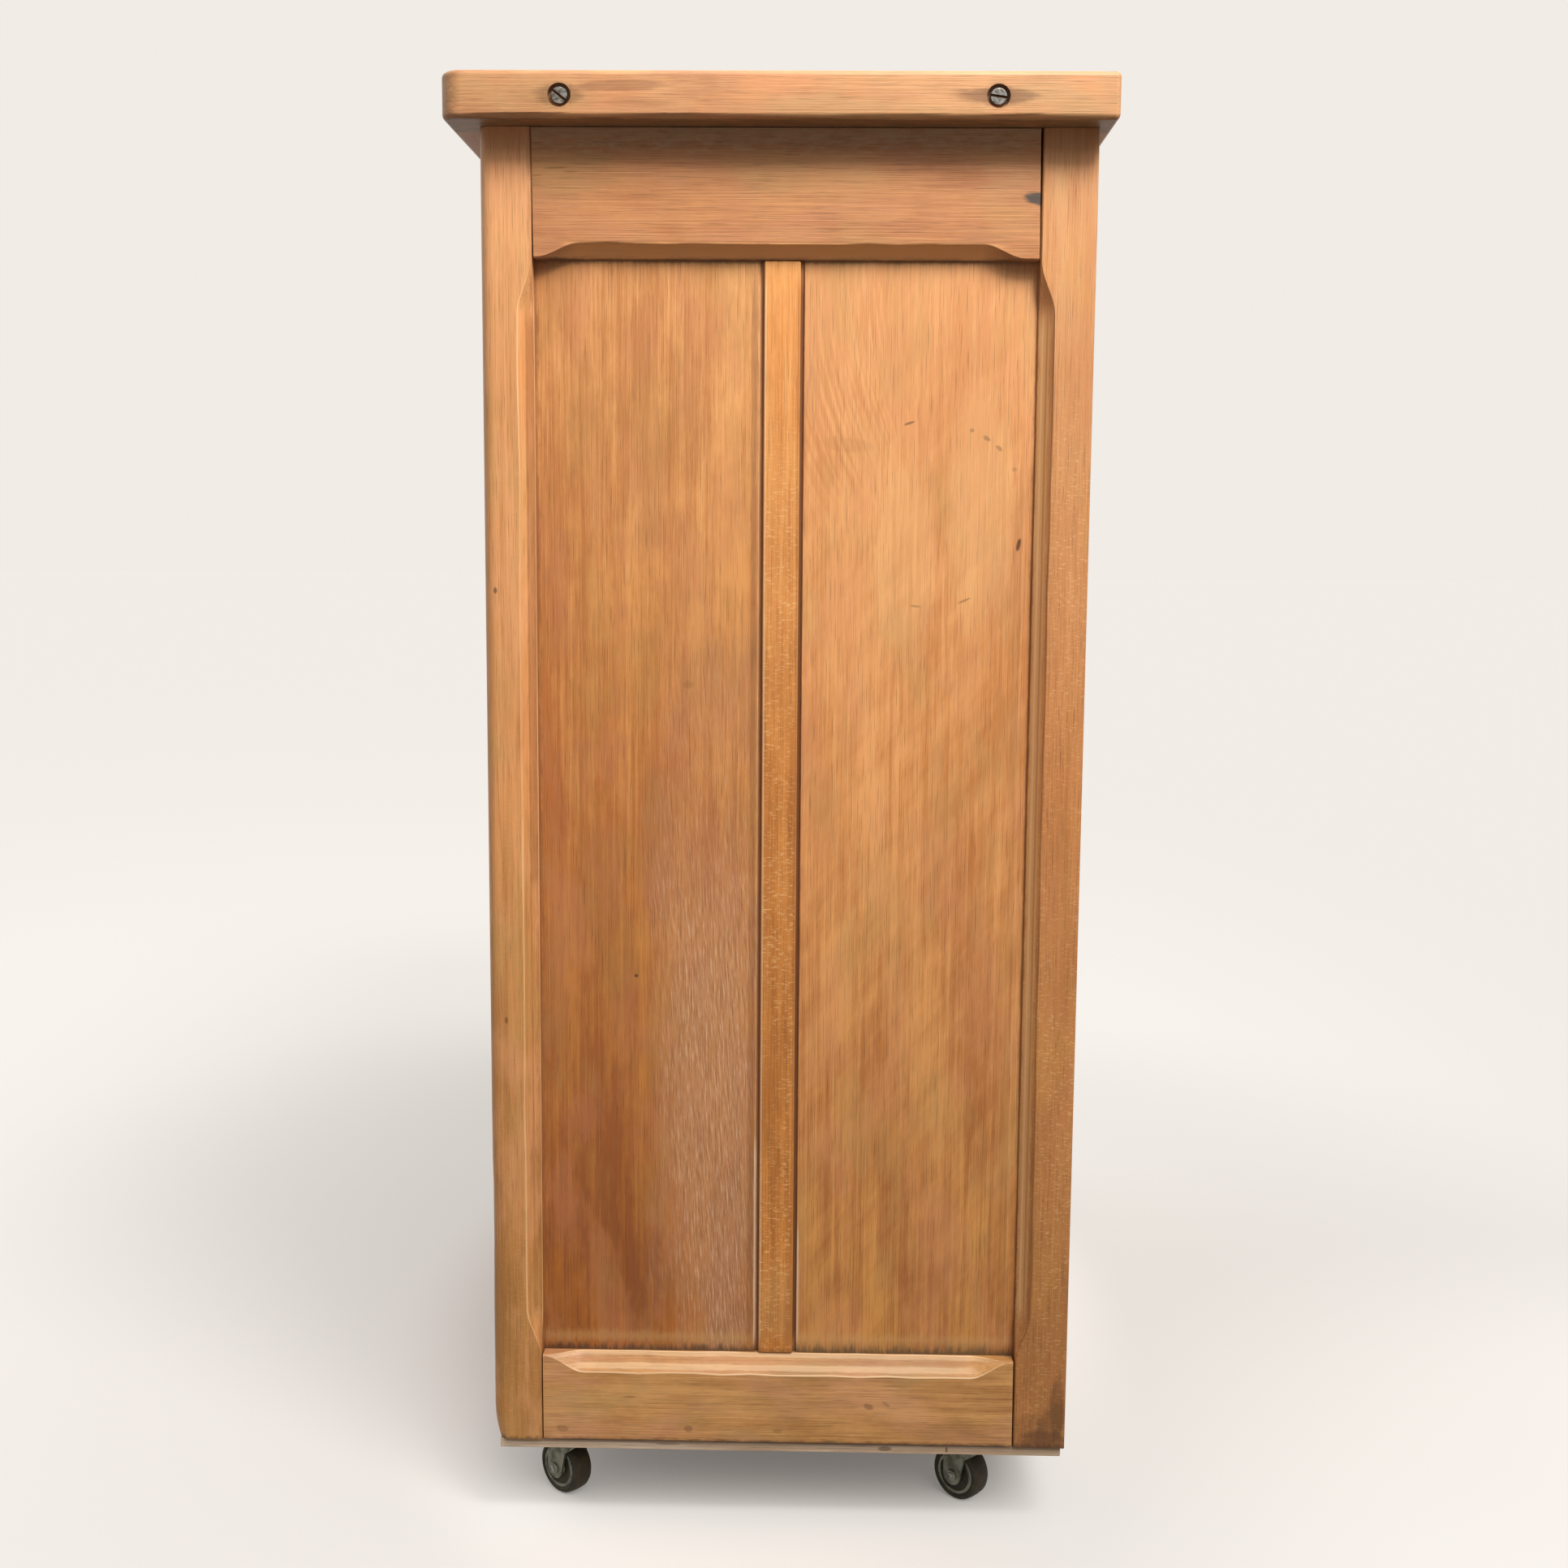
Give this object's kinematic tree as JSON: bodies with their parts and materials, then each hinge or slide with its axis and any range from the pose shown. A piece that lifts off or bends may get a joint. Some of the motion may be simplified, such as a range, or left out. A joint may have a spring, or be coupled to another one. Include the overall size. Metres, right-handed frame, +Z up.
{
  "type": "buffet cabinet",
  "caption": "Stripped wood buffet cabinet on swivel castors, with stop-chamfered panelled sides, a long drawer over a pair of framed doors, and a cleated top.",
  "frame": {"origin": "on the floor, under the middle of the bounding box", "axes": "+Z up, +X to the cabinet's right-hand side, and the doors and drawer face -Y"},
  "size_m": [1.064, 0.538, 1.2296],
  "materials": {
    "stripped_beech": "stripped and waxed beech, honey brown, with short pale flecks and worn arrises",
    "stripped_elm": "stripped and waxed softwood panels with upright grain, red-brown, with nail marks and insect holes",
    "plain_pine": "bare pine inside and on the back",
    "base_plywood": "thin bare plywood",
    "dull_steel": "dull grey-green pressed steel",
    "aged_brass": "tarnished brass",
    "dark_rubber": "dark brown-black rubber, scuffed"
  },
  "bodies": {
    "cabinet": {"post_front_right": "stripped_beech", "post_front_left": "stripped_beech", "post_rear_right": "stripped_beech", "post_rear_left": "stripped_beech", "side_top_rail_right": "stripped_beech", "side_top_rail_left": "stripped_beech", "side_bottom_rail_right": "stripped_beech", "side_bottom_rail_left": "stripped_beech", "side_muntin_right": "stripped_beech", "side_muntin_left": "stripped_beech", "side_panel_front_right": "stripped_elm", "side_panel_front_left": "stripped_elm", "side_panel_rear_right": "stripped_elm", "side_panel_rear_left": "stripped_elm", "top_board": "stripped_beech", "top_cleat_right": "stripped_beech", "top_cleat_left": "stripped_beech", "front_top_rail": "stripped_beech", "drawer_blade": "stripped_beech", "front_bottom_rail": "stripped_beech", "centre_stile": "stripped_beech", "back_panel": "plain_pine", "cupboard_floor": "plain_pine", "shelf": "plain_pine", "shelf_bearer_right": "plain_pine", "shelf_bearer_left": "plain_pine", "drawer_runner_right": "plain_pine", "drawer_runner_left": "plain_pine", "base_board": "base_plywood", "hinge_right_bottom_post_leaf": "aged_brass", "hinge_right_top_post_leaf": "aged_brass", "hinge_left_bottom_post_leaf": "aged_brass", "hinge_left_top_post_leaf": "aged_brass"},
    "right_door": {"door_right_frame": "stripped_beech", "door_right_panel_inner": "stripped_elm", "door_right_panel_outer": "stripped_elm", "door_right_knob": "stripped_beech", "hinge_right_bottom_door_leaf": "aged_brass", "hinge_right_top_door_leaf": "aged_brass"},
    "left_door": {"door_left_frame": "stripped_beech", "door_left_panel_inner": "stripped_elm", "door_left_panel_outer": "stripped_elm", "door_left_knob": "stripped_beech", "hinge_left_bottom_door_leaf": "aged_brass", "hinge_left_top_door_leaf": "aged_brass"},
    "drawer": {"drawer_front": "stripped_beech", "drawer_side_right": "plain_pine", "drawer_side_left": "plain_pine", "drawer_back": "plain_pine", "drawer_bottom": "plain_pine", "drawer_knob_right": "stripped_beech", "drawer_knob_left": "stripped_beech"},
    "front_right_fork": {"castor_fork_front_right": "dull_steel"},
    "front_left_fork": {"castor_fork_front_left": "dull_steel"},
    "rear_right_fork": {"castor_fork_rear_right": "dull_steel"},
    "rear_left_fork": {"castor_fork_rear_left": "dull_steel"},
    "front_right_wheel": {"castor_wheel_front_right": "dark_rubber"},
    "front_left_wheel": {"castor_wheel_front_left": "dark_rubber"},
    "rear_right_wheel": {"castor_wheel_rear_right": "dark_rubber"},
    "rear_left_wheel": {"castor_wheel_rear_left": "dark_rubber"}
  },
  "joints": [
    {"name": "right_door_hinge", "type": "hinge", "parent": "cabinet", "child": "right_door", "pos_m": [0.455, -0.2459, 0.5748], "axis": [0, 0, 1], "range_deg": [0, 170]},
    {"name": "left_door_hinge", "type": "hinge", "parent": "cabinet", "child": "left_door", "pos_m": [-0.455, -0.2459, 0.5748], "axis": [0, 0, -1], "range_deg": [0, 170]},
    {"name": "drawer_slide", "type": "slide", "parent": "cabinet", "child": "drawer", "axis": [0, -1, 0], "range_m": [0, 0.33]},
    {"name": "front_right_swivel", "type": "hinge", "parent": "cabinet", "child": "front_right_fork", "pos_m": [0.451, -0.173, 0.06], "axis": [0, 0, 1], "continuous": true},
    {"name": "front_left_swivel", "type": "hinge", "parent": "cabinet", "child": "front_left_fork", "pos_m": [-0.451, -0.173, 0.06], "axis": [0, 0, 1], "continuous": true},
    {"name": "rear_right_swivel", "type": "hinge", "parent": "cabinet", "child": "rear_right_fork", "pos_m": [0.451, 0.187, 0.06], "axis": [0, 0, 1], "continuous": true},
    {"name": "rear_left_swivel", "type": "hinge", "parent": "cabinet", "child": "rear_left_fork", "pos_m": [-0.451, 0.187, 0.06], "axis": [0, 0, 1], "continuous": true},
    {"name": "front_right_roll", "type": "hinge", "parent": "front_right_fork", "child": "front_right_wheel", "pos_m": [0.43762, -0.18786, 0.025], "axis": [-0.7431, 0.6691, 0], "continuous": true},
    {"name": "front_left_roll", "type": "hinge", "parent": "front_left_fork", "child": "front_left_wheel", "pos_m": [-0.46832, -0.163, 0.025], "axis": [0.5, 0.866, 0], "continuous": true},
    {"name": "rear_right_roll", "type": "hinge", "parent": "rear_right_fork", "child": "rear_right_wheel", "pos_m": [0.43762, 0.17214, 0.025], "axis": [-0.7431, 0.6691, 0], "continuous": true},
    {"name": "rear_left_roll", "type": "hinge", "parent": "rear_left_fork", "child": "rear_left_wheel", "pos_m": [-0.43953, 0.17062, 0.025], "axis": [-0.8192, -0.5736, 0], "continuous": true}
  ]
}
